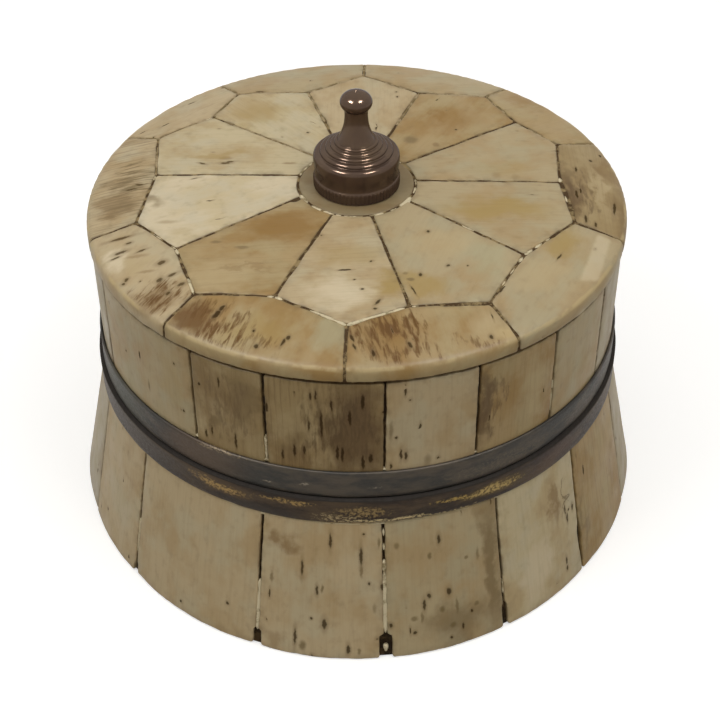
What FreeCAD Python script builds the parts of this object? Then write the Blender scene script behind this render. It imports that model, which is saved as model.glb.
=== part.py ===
import FreeCAD
import Part
import math
import os

# A round lidded trinket box: turned wooden cores faced with polished bone.
# Millimetres, +Z up, origin at the middle of the foot, the front towards -Y.
# Angles are in degrees from the front, growing towards +X.

# Heights of the box
base_height = 39.0
lid_height = 29.5
parting_gap = 0.3

# Bone staves round the sides, measured at their outer faces
foot_radius = 65.4
lid_radius = 57.0
base_step = 1.1
stave_thickness = 4.5
seam_gap = 0.4

# Width of each stave as a share of the whole turn, starting left of the front
lid_seam_angle = -66
lid_stave_shares = (
    0.087, 0.045, 0.066, 0.053, 0.053, 0.051, 0.056, 0.066,
    0.061, 0.071, 0.063, 0.068, 0.060, 0.067, 0.069, 0.064,
)
base_seam_angle = -71
base_stave_shares = (
    0.056, 0.087, 0.068, 0.067, 0.061, 0.062, 0.083, 0.089,
    0.081, 0.086, 0.091, 0.083, 0.086,
)

# Sheet metal bands wrapped over the staves, one each side of the parting line
band_thickness = 0.5
band_fit_gap = 0.1
base_band_rebate = 0.3
lid_band_height = 6.8
base_band_height = 5.9

# Wooden cores under the bone
lid_wall_thickness = 4.0
lid_top_thickness = 5.0
lid_fit_clearance = 0.4
lip_height = 8.0
lip_thickness = 3.4
floor_thickness = 7.0

# Bone mosaic on the lid
rim_overhang = 0.5
rim_edge_height = 3.4
rim_arris_width = 1.0
rim_arris_height = 1.0
rim_facet_width = 11.2
rim_facet_drop = 3.0
disc_radius = 12.3
rim_tile_width = 9.6
tile_point_rise = 4.9
tile_count = 10
tile_seam_angle = -57.5

# Each seam of the inner tiles: its turn at the disc and at the seam ring, as shares of a tile's
# angle, and its reach as a share of the seam ring's radius
tile_seam_shares = (
    (-0.26, -0.01, 1.00),
    (-0.07, -0.02, 0.98),
    (-0.01, -0.03, 1.01),
    (0.21, 0.06, 0.98),
    (0.22, 0.13, 1.01),
    (0.13, 0.09, 1.03),
    (0.04, 0.03, 0.97),
    (-0.01, 0.04, 0.96),
    (-0.35, -0.05, 1.01),
    (-0.33, -0.07, 1.01),
)

# The blunt point of each inner tile: its turn from the tile's middle, and its reach
tile_point_shares = (
    (-0.03, 1.02),
    (0.03, 0.99),
    (0.00, 1.00),
    (0.12, 0.98),
    (0.17, 0.99),
    (0.03, 1.01),
    (0.04, 1.00),
    (0.06, 1.01),
    (-0.09, 1.02),
    (0.04, 0.99),
)

# Cast brass finial, heights from its own foot
foot_ring_radius = 9.3
foot_ring_height = 2.3
waist_radius = 8.8
drum_radius = 9.3
drum_height = 6.2
step_count = 3
crown_ring_radius = 4.0
crown_ring_height = 10.9
stem_foot_radius = 2.9
stem_foot_height = 13.2
stem_radius = 2.4
ball_radius = 3.5
ball_height = 19.7
ball_facets = 4

# Screw that holds the finial from inside the lid
screw_radius = 2.0
screw_clearance = 0.2
thread_clearance = 0.05
screw_grip = 8.5
screw_tip_gap = 1.0
screw_head_radius = 4.0
screw_head_height = 2.2
slot_width = 1.0
slot_depth = 1.1

# Every cutting tool runs past the faces it cuts by this much
overrun = 2.0

# Levels and radii that follow
tile_bed = base_height + lid_height
lid_foot = base_height + parting_gap
base_head = base_height - parting_gap
base_top_radius = lid_radius + base_step
band_seat_radius = base_top_radius - base_band_rebate
flare_head = base_head - base_band_height
lid_ceiling = tile_bed - lid_top_thickness
lid_bore_radius = lid_radius - stave_thickness - lid_wall_thickness
lip_radius = lid_bore_radius - lid_fit_clearance
bowl_radius = lip_radius - lip_thickness
rim_radius = lid_radius + rim_overhang
seam_point_radius = rim_radius - rim_tile_width
seam_ring_radius = seam_point_radius - tile_point_rise
arris_level = tile_bed + rim_edge_height
crown_level = arris_level + rim_arris_height + rim_facet_drop
arris_run = (crown_level - arris_level) * rim_arris_width / rim_arris_height
table_radius = rim_radius - rim_arris_width - rim_facet_width
screw_hole_radius = screw_radius + screw_clearance
tile_angle = 360 / tile_count


def place(radius, angle, height):
    turn = math.radians(angle)
    return FreeCAD.Vector(radius * math.sin(turn), -radius * math.cos(turn), height)


def upright(radius, foot, head):
    return Part.makeCylinder(radius, head - foot, FreeCAD.Vector(0, 0, foot))


def sheet(corners):
    return Part.Face(Part.makePolygon(corners + corners[:1]))


def revolved(points):
    face = sheet([FreeCAD.Vector(radius, 0, height) for radius, height in points])
    return face.revolve(FreeCAD.Vector(0, 0, 0), FreeCAD.Vector(0, 0, 1), 360)


def save(shape, node):
    shape.exportStep("parts/" + node + ".step")


# Start angle and width of each stave in a ring.
def stave_spans(start, shares):
    spans = []
    for share in shares:
        width = 360 * share / sum(shares)
        spans.append((start, width))
        start += width
    return spans


# A core blank has one flat behind each stave, all touching the same circle.
def core_blank(spans, foot, head, foot_reach, head_reach):
    middles = [start + width / 2 for start, width in spans]
    low = []
    high = []
    for this, following in zip(middles, middles[1:] + [middles[0] + 360]):
        half = math.radians(following - this) / 2
        corner_angle = (this + following) / 2
        low.append(place(foot_reach / math.cos(half), corner_angle, foot))
        high.append(place(head_reach / math.cos(half), corner_angle, head))
    faces = [sheet(low), sheet(high)]
    for number in range(len(low)):
        last = number - 1
        faces.append(sheet([low[last], low[number], high[number], high[last]]))
    blank = Part.Solid(Part.Shell(faces))
    blank.fix(0, 0, 0)
    return blank


# The wedge of the ring that one stave fills, with half a seam left out at each side.
def stave_wedge(start, width, radius, foot, head):
    half_gap = math.degrees(seam_gap / radius) / 2
    reach = 2 * radius
    corners = [
        place(0, start, foot),
        place(reach, start + half_gap, foot),
        place(reach, start + width / 2, foot),
        place(reach, start + width - half_gap, foot),
    ]
    return sheet(corners).extrude(FreeCAD.Vector(0, 0, head - foot))


# A base stave is a plank ground to one radius along its slope, up to the seat of the band.
def flared_plank(middle):
    lean = math.atan2(foot_radius - base_top_radius, flare_head)
    along = place(-math.sin(lean), middle, math.cos(lean))
    outward = place(math.cos(lean), middle, math.sin(lean))
    plank_radius = base_top_radius / math.cos(lean)
    length = flare_head / math.cos(lean)
    foot_line = place(foot_radius, middle, 0)
    start = foot_line - outward * plank_radius - along * stave_thickness
    plank = Part.makeCylinder(plank_radius, length + 2 * stave_thickness, start, along)
    return plank.common(upright(2 * foot_radius, 0, flare_head))


def base_pieces():
    spans = stave_spans(base_seam_angle, base_stave_shares)
    flare_foot_reach = foot_radius - stave_thickness
    seat_reach = base_top_radius - stave_thickness
    flare = core_blank(spans, 0, flare_head, flare_foot_reach, seat_reach)
    seat = core_blank(spans, flare_head, base_height, seat_reach, seat_reach)
    blank = flare.fuse(seat).removeSplitter()
    band_seat = upright(band_seat_radius, flare_head, base_head)
    for number, (start, width) in enumerate(spans, 1):
        wedge = stave_wedge(start, width, foot_radius, 0, base_head)
        plank = flared_plank(start + width / 2)
        stave = plank.fuse(band_seat).common(wedge).cut(blank)
        save(stave.removeSplitter(), "base_stave_%02d" % number)

    # The core is hollowed from above and has a lip for the lid.
    lip_head = base_height + lip_height
    core = blank.fuse(upright(lip_radius, floor_thickness, lip_head))
    core = core.cut(upright(bowl_radius, floor_thickness, lip_head + overrun))
    save(core.removeSplitter(), "base_core")
    save(band(band_seat_radius, flare_head, base_head), "base_band")


# A band is a hoop of sheet metal round the upright part of the staves.
def band(stave_radius, foot, head):
    inner = stave_radius + band_fit_gap
    hole = upright(inner, foot - overrun, head + overrun)
    return upright(inner + band_thickness, foot, head).cut(hole)


def lid_pieces():
    spans = stave_spans(lid_seam_angle, lid_stave_shares)
    reach = lid_radius - stave_thickness
    blank = core_blank(spans, base_height, tile_bed, reach, reach)
    side = upright(lid_radius, lid_foot, tile_bed)
    for number, (start, width) in enumerate(spans, 1):
        wedge = stave_wedge(start, width, lid_radius, lid_foot, tile_bed)
        save(side.common(wedge).cut(blank), "lid_stave_%02d" % number)

    # The core is hollowed from below to drop over the lip of the base.
    core = blank.cut(upright(lid_bore_radius, base_height - overrun, lid_ceiling))
    core = core.cut(upright(screw_hole_radius, base_height, tile_bed + overrun))
    save(core, "lid_core")
    save(band(lid_radius, lid_foot, lid_foot + lid_band_height), "lid_band")


def seam_inner(number):
    turn, _, _ = tile_seam_shares[number % tile_count]
    return place(disc_radius, tile_seam_angle + tile_angle * (number + turn), tile_bed)


def seam_outer(number):
    _, turn, reach = tile_seam_shares[number % tile_count]
    return place(seam_ring_radius * reach, tile_seam_angle + tile_angle * (number + turn), tile_bed)


def point_angle(number):
    turn, _ = tile_point_shares[number % tile_count]
    return tile_seam_angle + tile_angle * (number + 1 / 2 + turn)


def tile_point(number):
    _, reach = tile_point_shares[number % tile_count]
    return place(seam_point_radius * reach, point_angle(number), tile_bed)


def past_rim(number):
    return place(2 * rim_radius, point_angle(number), tile_bed)


# A tile is the slab inside its outline, drawn in by half a seam on every side.
def tile(slab, corners):
    face = sheet(corners).makeOffset2D(-seam_gap / 2, 2)
    return slab.common(face.extrude(FreeCAD.Vector(0, 0, crown_level - tile_bed + overrun)))


# A rim tile is ground off along a flat that falls towards the rim.
def rim_facet(number):
    middle = (point_angle(number) + point_angle(number + 1)) / 2
    run = rim_facet_width + rim_arris_width + overrun
    drop = run * rim_facet_drop / rim_facet_width
    across = place(rim_radius, middle + 90, 0)
    face = sheet([
        place(table_radius, middle, crown_level) - across,
        place(table_radius + run, middle, crown_level - drop) - across,
        place(table_radius + run, middle, crown_level + overrun) - across,
    ])
    return face.extrude(2 * across)


def mosaic():
    slab = revolved((
        (0, tile_bed),
        (rim_radius, tile_bed),
        (rim_radius, arris_level),
        (rim_radius - arris_run, crown_level),
        (0, crown_level),
    ))
    disc_hole = upright(disc_radius + seam_gap, tile_bed - overrun, crown_level + overrun)
    for number in range(tile_count):
        inner = tile(slab, [
            seam_inner(number),
            seam_outer(number),
            tile_point(number),
            seam_outer(number + 1),
            seam_inner(number + 1),
        ])
        save(inner.cut(disc_hole), "inner_tile_%02d" % (number + 1))
        rim = tile(slab, [
            tile_point(number),
            past_rim(number),
            past_rim(number + 1),
            tile_point(number + 1),
            seam_outer(number + 1),
        ])
        save(rim.cut(rim_facet(number)), "rim_tile_%02d" % (number + 1))
    disc = upright(disc_radius, tile_bed, crown_level)
    hole = upright(screw_hole_radius, tile_bed - overrun, crown_level + overrun)
    save(disc.cut(hole), "centre_disc")


# The finial is turned about the screw: foot ring, waisted drum, rising steps, stem and ball.
def finial():
    bore_radius = screw_radius + thread_clearance
    bore_depth = screw_grip + screw_tip_gap
    profile = [
        (bore_radius, 0),
        (foot_ring_radius, 0),
        (foot_ring_radius, foot_ring_height),
        (waist_radius, foot_ring_height),
        (drum_radius, drum_height),
    ]
    tread = (drum_radius - crown_ring_radius) / step_count
    riser = (crown_ring_height - drum_height) / step_count
    for number in range(step_count):
        radius = drum_radius - tread * (number + 1)
        profile.append((radius, drum_height + riser * number))
        profile.append((radius, drum_height + riser * (number + 1)))
    profile.append((stem_foot_radius, stem_foot_height))
    ball_foot = -math.acos(stem_radius / ball_radius)
    for number in range(ball_facets + 1):
        rise = ball_foot + (math.pi / 2 - ball_foot) * number / ball_facets
        profile.append((ball_radius * math.cos(rise), ball_height + ball_radius * math.sin(rise)))
    profile[-1] = (0, ball_height + ball_radius)
    profile += [(0, bore_depth), (bore_radius, bore_depth)]
    save(revolved([(radius, crown_level + height) for radius, height in profile]), "finial")


def finial_screw():
    head_foot = lid_ceiling - screw_head_height
    shank = upright(screw_radius, lid_ceiling, crown_level + screw_grip)
    head = upright(screw_head_radius, head_foot, lid_ceiling)
    slot_length = 2 * (screw_head_radius + overrun)
    slot_corner = FreeCAD.Vector(-slot_length / 2, -slot_width / 2, head_foot - overrun)
    slot = Part.makeBox(slot_length, slot_width, slot_depth + overrun, slot_corner)
    save(shank.fuse(head).cut(slot).removeSplitter(), "finial_screw")


os.makedirs("parts", exist_ok=True)
base_pieces()
lid_pieces()
mosaic()
finial()
finial_screw()
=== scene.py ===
import math
from bisect import bisect
from functools import partial

import bpy
from mathutils import Matrix, Vector, noise
from mathutils.geometry import delaunay_2d_cdt


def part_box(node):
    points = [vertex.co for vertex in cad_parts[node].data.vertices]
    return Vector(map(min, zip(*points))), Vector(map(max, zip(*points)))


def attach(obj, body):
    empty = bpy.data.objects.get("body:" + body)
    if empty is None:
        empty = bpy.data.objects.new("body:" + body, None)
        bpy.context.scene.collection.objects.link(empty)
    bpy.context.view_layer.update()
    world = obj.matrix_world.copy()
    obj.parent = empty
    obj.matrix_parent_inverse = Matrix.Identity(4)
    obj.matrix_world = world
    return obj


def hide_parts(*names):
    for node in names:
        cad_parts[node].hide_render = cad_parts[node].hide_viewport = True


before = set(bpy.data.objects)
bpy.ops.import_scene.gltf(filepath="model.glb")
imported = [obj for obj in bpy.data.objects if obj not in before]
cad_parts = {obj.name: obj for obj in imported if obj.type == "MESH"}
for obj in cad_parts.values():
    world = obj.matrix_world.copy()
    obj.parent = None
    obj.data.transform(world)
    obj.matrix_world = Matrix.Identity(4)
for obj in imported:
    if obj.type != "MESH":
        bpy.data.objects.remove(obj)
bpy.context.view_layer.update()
mm = 0.001
print("frame loaded:", len(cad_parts), "nodes")


def hexColour(code):
    # sRGB hex to the linear colour that a socket takes
    parts = [int(code[k:k + 2], 16) / 255 for k in (1, 3, 5)]
    return [c / 12.92 if c <= 0.04045 else ((c + 0.055) / 1.055) ** 2.4 for c in parts] + [1.0]


def addNode(tree, kind, links=None, out=0, **settings):
    # an input takes a plain value or another node's socket; one output comes back
    node = tree.nodes.new("ShaderNode" + kind)
    for key, value in settings.items():
        setattr(node, key, value)
    for key, value in (links or {}).items():
        if isinstance(value, bpy.types.NodeSocket):
            tree.links.new(value, node.inputs[key])
        else:
            node.inputs[key].default_value = value
    return node.outputs[out] if node.outputs else node


# settings that many nodes share
soft = {"interpolation_type": "SMOOTHSTEP"}
rgb = {"out": 2, "data_type": "RGBA"}
plane = {"noise_dimensions": "2D"}


def newMaterial(name):
    material = bpy.data.materials.new(name)
    material.use_nodes = True
    material.node_tree.nodes.clear()
    return material, partial(addNode, material.node_tree)


def meshPiece(name, points, faces, material, **marks):
    # points in mm; marks are one value per point, read by the materials
    mesh = bpy.data.meshes.new(name)
    mesh.from_pydata([p * mm for p in points], [], faces)
    for mark, values in marks.items():
        kind = "FLOAT_VECTOR" if isinstance(values[0], Vector) else "FLOAT"
        layer = mesh.attributes.new(mark, kind, "POINT")
        flat = [c for v in values for c in v] if kind == "FLOAT_VECTOR" else values
        layer.data.foreach_set("vector" if kind == "FLOAT_VECTOR" else "value", flat)
    mesh.shade_smooth()
    mesh.materials.append(material)
    piece = bpy.data.objects.new(name, mesh)
    bpy.context.scene.collection.objects.link(piece)
    return piece


def settle(piece, body, slot, *nodes):
    if nodes:
        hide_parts(*nodes)
    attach(piece, body)


def wave(x, y, size, seed):
    return noise.noise(Vector((x / size + seed * 3.1, y / size - seed * 1.7, seed * 0.37)))


# sizes read from the frame, in mm
def nodePoints(node):
    return [v.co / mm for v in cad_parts[node].data.vertices]


def reachOf(node):
    return max(math.hypot(p.x, p.y) for p in nodePoints(node))


def angleOf(p):
    return math.degrees(math.atan2(p.x, -p.y))  # from the front, towards the right


def spanOf(node):
    points = [p for p in nodePoints(node) if math.hypot(p.x, p.y) > 5]
    middle = angleOf(sum(points, Vector((0, 0, 0))))
    turns = [(angleOf(p) - middle + 180) % 360 - 180 for p in points]
    return middle + min(turns), middle + max(turns)


def levels(node):
    low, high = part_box(node)
    return low[2] / mm, high[2] / mm


tileBed, crown = levels("inner_tile_01")
rimRadius = reachOf("rim_tile_01")
lidRadius = reachOf("lid_stave_01")
lidFoot, lidHead = levels("lid_stave_01")
baseFoot, baseHead = levels("base_stave_02")
footRadius = reachOf("base_stave_02")
flareHead = levels("base_band")[0]
seatRadius = max(math.hypot(p.x, p.y) for p in nodePoints("base_stave_02") if p.z > flareHead + 0.1)
baseRadius = max(math.hypot(p.x, p.y) for p in nodePoints("base_stave_02") if abs(p.z - flareHead) < 0.01)
staveThickness = 4.5
sizes = (tileBed, crown, rimRadius, lidRadius, footRadius, baseRadius, seatRadius)
print("sizes:", [round(v, 2) for v in sizes])


# kinds of bone, pale to dark, given one by one: its colour, a warmer cloud and a cooler one
boneKinds = {
    "ivory": ("#CCBC9C", "#C0AE88", "#C2B69A"),
    "cream": ("#BEAE8A", "#B09A72", "#BAAE90"),
    "buff": ("#B6A27E", "#AA926A", "#B4A686"),
    "bone": ("#AC9A76", "#A68E66", "#A89C7C"),
    # painted reflection: a greyer bone, used on the staves turned to the left and right, for the cool sheen
    # they show
    "grey": ("#A89A7C", "#98866A", "#AEA288"),
    "fawn": ("#A68E64", "#967848", "#A8966E"),
    "tan": ("#968058", "#826A44", "#A49068"),
    "drab": ("#887858", "#806A48", "#928466"),
}
# what has marked it, the colour it darkens to near its edges, and the colours of the painted highlight along
# the arris and the painted reflection on the ground facet
tints = {
    "chalk": "#D0C0A0", "rubbed": "#C0AA7C", "straw": "#B4A078", "sage": "#A8A07E", "honey": "#A0864E",
    "amber": "#8A6834", "hazel": "#846A44", "fibre": "#7A6442", "smoke": "#766240", "faint": "#6C5A38",
    "rust": "#64441C", "umber": "#5E482C", "grime": "#54442C", "softPit": "#4C3A20", "pit": "#302210",
}

# Bone, sawn into slices, scraped and waxed: creamy and a little glossy to the eye, clouded with honey stains,
# with faint lines along the grain and dark slots where the fine canals were cut open. Cells are the length and
# width in mm of one patch of a pattern, along the grain and across it.
boneLook = {
    "kind": "bone",
    "grain": 90,  # degrees in the slice's own flat
    "fibre": 0.10, "fibreTint": "fibre", "fibreCell": (12, 0.6),
    "pores": 0.02, "poreCell": (5.2, 1.0), "poreSize": 0.2,
    "specks": 0.02, "speckCell": (2.3, 1.7), "speckSize": 0.14,
    "patchCell": (12, 9), "pitTint": "pit",
    "pits": [],  # x, y, half length, half width in mm, and a lean of its own
    "stains": [],  # x, y, half sizes in mm, tint, strength
    "streaks": [],  # the same, broken into strokes along the grain
    "strokeCell": (4.4, 1.0),
    "ground": [], "groundStrength": 0.4,  # corners of a facet ground flat, anticlockwise, painted paler as a reflection
    "driftCell": (7, 5), "bend": 9, "frayCell": 1.1, "fray": 0.45,
    "edge": 0.5, "dirtCell": 3,
    "roughness": (0.40, 0.56), "shine": (0.12, 0.03), "relief": 0.12,
}


def markReach(add, where, x, y, length, width, turn=0.0):
    # how far off a point lies, counted in half sizes of an ellipse
    lay = {"Vector": where, "Location": (x, y, 0), "Rotation": (0, 0, turn), "Scale": (length, width, 1)}
    near = add("Mapping", lay, vector_type="TEXTURE")
    return add("VectorMath", {0: near}, "Value", operation="LENGTH")


def polishedBone(name, look, arris=None):
    look = {**boneLook, **look}
    material, add = newMaterial(name)
    seed = sum(ord(c) * (k + 1) for k, c in enumerate(name)) % 97
    place = add("Attribute", out="Vector", attribute_name="placeMm")
    lean = math.radians(look["grain"])
    shift = (seed * 13.7, seed * 7.9, 0)
    grain = add("Mapping", {"Vector": place, "Rotation": (0, 0, -lean), "Location": shift})
    fibreColour = hexColour(tints[look["fibreTint"]])

    def veil(cell, **settings):
        # noise drawn out along the grain
        lay = add("Mapping", {"Vector": grain, "Scale": (1 / cell[0], 1 / cell[1], 1)})
        return add("TexNoise", {"Vector": lay, "Scale": 1.0, "Detail": 4.0, **settings}, **plane)

    # clouds: cell, where they begin and end, how strong, colour
    colour, warm, cool = (hexColour(code) for code in boneKinds[look["kind"]])
    clouds = (((15, 10), 0.38, 0.66, 0.9, warm), ((11, 8), 0.44, 0.70, 0.7, cool),
              ((3.0, 2.0), 0.5, 0.85, 0.25, fibreColour))
    for cell, low, high, most, tint in clouds:
        cloud = veil(cell, Roughness=0.55)
        mask = add("MapRange", {"Value": cloud, "From Min": low, "From Max": high, "To Max": most}, **soft)
        colour = add("Mix", {0: mask, 6: colour, 7: tint}, **rgb)

    # two wavering copies of the place: a slow one bends stains, a fine one frays marks
    drift = veil(look["driftCell"], Roughness=0.55)
    off = add("VectorMath", {0: drift.node.outputs["Color"], 1: (0.5, 0.5, 0.5)}, operation="SUBTRACT")
    sway = (look["bend"], look["bend"], 0)
    bent = add("VectorMath", {0: off, 1: sway, 2: place}, operation="MULTIPLY_ADD")
    fine = add("TexNoise", {"Vector": grain, "Scale": 1 / look["frayCell"], "Detail": 2.0}, "Color", **plane)
    off = add("VectorMath", {0: fine, 1: (0.5, 0.5, 0.5)}, operation="SUBTRACT")
    sway = (look["fray"], look["fray"], 0)
    frayed = add("VectorMath", {0: off, 1: sway, 2: place}, operation="MULTIPLY_ADD")

    for x, y, length, width, tint, strength in look["stains"]:
        broad = length + width > 5
        near = markReach(add, bent if broad else frayed, x, y, length, width)
        mask = add("MapRange", {"Value": near, "From Min": 1.2, "From Max": 0.3, "To Max": strength}, **soft)
        colour = add("Mix", {0: mask, 6: colour, 7: hexColour(tints[tint])}, **rgb)

    fibre = veil(look["fibreCell"], Roughness=0.6)
    lines = {"Value": fibre, "From Min": 0.44, "From Max": 0.72, "To Max": look["fibre"]}
    colour = add("Mix", {0: add("MapRange", lines, **soft), 6: colour, 7: fibreColour}, **rgb)

    # strokes crowd together towards the middle of their patch and stop at the arris
    reach = add("VectorMath", {0: place}, "Value", operation="LENGTH")
    strokes = veil(look["strokeCell"], Roughness=0.62, Distortion=0.25)
    for x, y, length, width, tint, strength in look["streaks"]:
        near = markReach(add, bent, x, y, length, width)
        crowd = add("MapRange", {"Value": near, "From Min": 1.1, "From Max": 0.0, "To Max": 0.2})
        crowd = add("Math", {0: strokes, 1: crowd}, operation="ADD")
        mask = add("MapRange", {"Value": crowd, "From Min": 0.5, "From Max": 0.8, "To Max": strength}, **soft)
        gate = add("MapRange", {"Value": near, "From Min": 1.15, "From Max": 0.8}, **soft)
        mask = add("Math", {0: mask, 1: gate}, operation="MULTIPLY")
        if arris:
            gate = add("MapRange", {"Value": reach, "From Min": arris + 0.2, "From Max": arris - 1.0}, **soft)
            mask = add("Math", {0: mask, 1: gate}, operation="MULTIPLY")
        colour = add("Mix", {0: mask, 6: colour, 7: hexColour(tints[tint])}, **rgb)

    # painted reflection: inside the facet's corners the colour is mixed towards chalk, for the light the flat
    # facet reflects
    if look["ground"]:
        inner = 1.0
        for (ax, ay), (bx, by) in zip(look["ground"], look["ground"][1:] + look["ground"][:1]):
            size = math.hypot(bx - ax, by - ay)
            across = ((ay - by) / size, (bx - ax) / size, 0)
            side = add("VectorMath", {0: frayed, 1: across}, "Value", operation="DOT_PRODUCT")
            start = ax * across[0] + ay * across[1]
            side = add("MapRange", {"Value": side, "From Min": start - 0.3, "From Max": start + 0.7}, **soft)
            inner = add("Math", {0: side, 1: inner}, operation="MULTIPLY")
        inner = add("Math", {0: inner, 1: look["groundStrength"]}, operation="MULTIPLY")
        colour = add("Mix", {0: inner, 6: colour, 7: hexColour(tints["chalk"])}, **rgb)

    # open canals: random ones, each a cell that is there by its red and as large as its green says
    patch = veil(look["patchCell"], Detail=3.0)
    patch = add("MapRange", {"Value": patch, "From Min": 0.36, "From Max": 0.58}, **soft)
    ragged = add("VectorMath", {0: fine, 1: (0.9, 0.28, 0), 2: grain}, operation="MULTIPLY_ADD")
    dents = []
    canals = ((look["poreCell"], look["pores"], look["poreSize"], 0.0),
              (look["speckCell"], look["specks"], look["speckSize"], 5.5))
    for cell, share, size, shift in canals:
        scale = (1 / cell[0], 1 / cell[1], 1)
        lay = add("Mapping", {"Vector": ragged, "Scale": scale, "Location": (shift, shift, 0)})
        pores = add("TexVoronoi", {"Vector": lay, "Scale": 1.0, "Randomness": 1.0}, voronoi_dimensions="2D")
        chance = add("SeparateColor", {0: pores.node.outputs["Color"]})
        there = add("Math", {0: patch, 1: share}, operation="MULTIPLY")
        there = add("Math", {0: chance, 1: there}, operation="LESS_THAN")
        radius = add("Math", {0: chance.node.outputs[1], 1: size, 2: size * 0.45}, operation="MULTIPLY_ADD")
        gap = add("Math", {0: radius, 1: pores}, operation="SUBTRACT")
        dent = add("MapRange", {"Value": gap, "From Max": 0.06}, **soft)
        halo = add("MapRange", {"Value": gap, "From Min": -0.3, "From Max": 0.05, "To Max": 0.4}, **soft)
        dents.append([add("Math", {0: part, 1: there}, operation="MULTIPLY") for part in (dent, halo)])
    if look["pits"]:
        nearest = 9.0
        for x, y, length, width, *own in look["pits"]:
            near = markReach(add, frayed, x, y, length, width, math.radians(own[0]) if own else lean)
            nearest = add("Math", {0: near, 1: nearest}, operation="MINIMUM")
        dent = add("MapRange", {"Value": nearest, "From Min": 1.1, "From Max": 0.55}, **soft)
        halo = add("MapRange", {"Value": nearest, "From Min": 2.3, "From Max": 0.9, "To Max": 0.4}, **soft)
        dents.append([dent, halo])
    deep = 0.0
    for dent, halo in dents:
        colour = add("Mix", {0: halo, 6: colour, 7: fibreColour}, **rgb)
        mask = add("Math", {0: dent, 1: 0.82}, operation="MULTIPLY")
        colour = add("Mix", {0: mask, 6: colour, 7: hexColour(tints[look["pitTint"]])}, **rgb)
        deep = add("Math", {0: dent, 1: deep}, operation="MAXIMUM")

    if arris:
        # painted highlight: a pale strip in patches along the arris, standing in for the light the rounded
        # edge catches
        sway = add("VectorMath", {0: bent}, "Value", operation="LENGTH")
        line = add("Mix", {0: 0.08, 2: reach, 3: sway}, data_type="FLOAT")
        line = add("Math", {0: line, 1: arris}, operation="SUBTRACT")
        line = add("Math", {0: line}, operation="ABSOLUTE")
        line = add("MapRange", {"Value": line, "From Min": 0.75, "From Max": 0.15}, **soft)
        worn = add("MapRange", {"Value": drift, "From Min": 0.36, "From Max": 0.6, "To Max": 0.7}, **soft)
        mask = add("Math", {0: line, 1: worn}, operation="MULTIPLY")
        colour = add("Mix", {0: mask, 6: colour, 7: hexColour(tints["rubbed"])}, **rgb)

    # darker in patches near the edges of each slice
    dirt = add("TexNoise", {"Vector": grain, "Scale": 1 / look["dirtCell"], "Detail": 2.0}, **plane)
    dirt = {"Value": dirt, "From Min": 0.38, "From Max": 0.62, "To Max": look["edge"]}
    dirt = add("MapRange", dirt, **soft)
    edge = add("Attribute", out="Fac", attribute_name="edgeNear")
    dirt = add("Math", {0: dirt, 1: edge}, operation="MULTIPLY")
    colour = add("Mix", {0: dirt, 6: colour, 7: hexColour(tints["grime"])}, **rgb)

    smooth, dull = look["roughness"]
    gloss = {"Value": drift, "From Min": 0.3, "From Max": 0.7, "To Min": smooth, "To Max": dull}
    gloss = add("Math", {0: deep, 1: 0.3, 2: add("MapRange", gloss)}, operation="MULTIPLY_ADD")
    height = add("Math", {0: deep, 1: -1.4, 2: fibre}, operation="MULTIPLY_ADD")
    bump = add("Bump", {"Strength": 0.3, "Distance": look["relief"] * mm, "Height": height})
    waxed, bare = look["shine"]  # no wax shine down in the pits
    wax = add("MapRange", {"Value": deep, "To Min": waxed, "To Max": bare})
    shader = add("BsdfPrincipled", {"Base Color": colour, "Roughness": gloss, "Normal": bump, "IOR": 1.54,
                                    "Specular IOR Level": wax})
    add("OutputMaterial", {"Surface": shader})
    return material


# Pitch and lime filler, pressed into the joints by hand and wiped: dull and crumbly, dark where pitch shows
def seamFiller(name, dark, pale, share):
    material, add = newMaterial(name)
    place = add("TexCoord", out="Object")
    lumps = add("TexNoise", {"Vector": place, "Scale": 1 / (2.6 * mm), "Detail": 4.0, "Roughness": 0.65})
    grit = add("TexNoise", {"Vector": place, "Scale": 1 / (0.4 * mm), "Detail": 2.0})
    mask = add("MapRange", {"Value": lumps, "From Min": share - 0.06, "From Max": share + 0.06})
    colour = add("Mix", {0: mask, 6: hexColour(dark), 7: hexColour(pale)}, **rgb)
    bump = add("Bump", {"Strength": 0.6, "Distance": 0.15 * mm, "Height": grit})
    shader = add("BsdfPrincipled", {"Base Color": colour, "Roughness": 0.85, "Normal": bump,
                                    "Specular IOR Level": 0.08})
    add("OutputMaterial", {"Surface": shader})
    return material


pitchBed = seamFiller("pitch_pressed", "#4A3822", "#907C56", 0.55)
pitchDark = seamFiller("pitch_pressed_dark", "#34281A", "#58462E", 0.55)
tanFiller = seamFiller("lime_filler_grimed", "#7C6A48", "#A49270", 0.5)
creamFiller = seamFiller("lime_filler_wiped", "#8E7E5C", "#D0C2A0", 0.44)
print("seam materials made")


def inside(p, outline):
    hit = False
    a = outline[-1]
    for b in outline:
        if (a.y > p.y) != (b.y > p.y) and p.x < a.x + (b.x - a.x) * (p.y - a.y) / (b.y - a.y):
            hit = not hit
        a = b
    return hit


def inward(outline):
    turns = []
    for k, p in enumerate(outline):
        run = (outline[(k + 1) % len(outline)] - outline[k - 1]).normalized()
        turns.append(Vector((-run.y, run.x)))
    return turns


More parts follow.
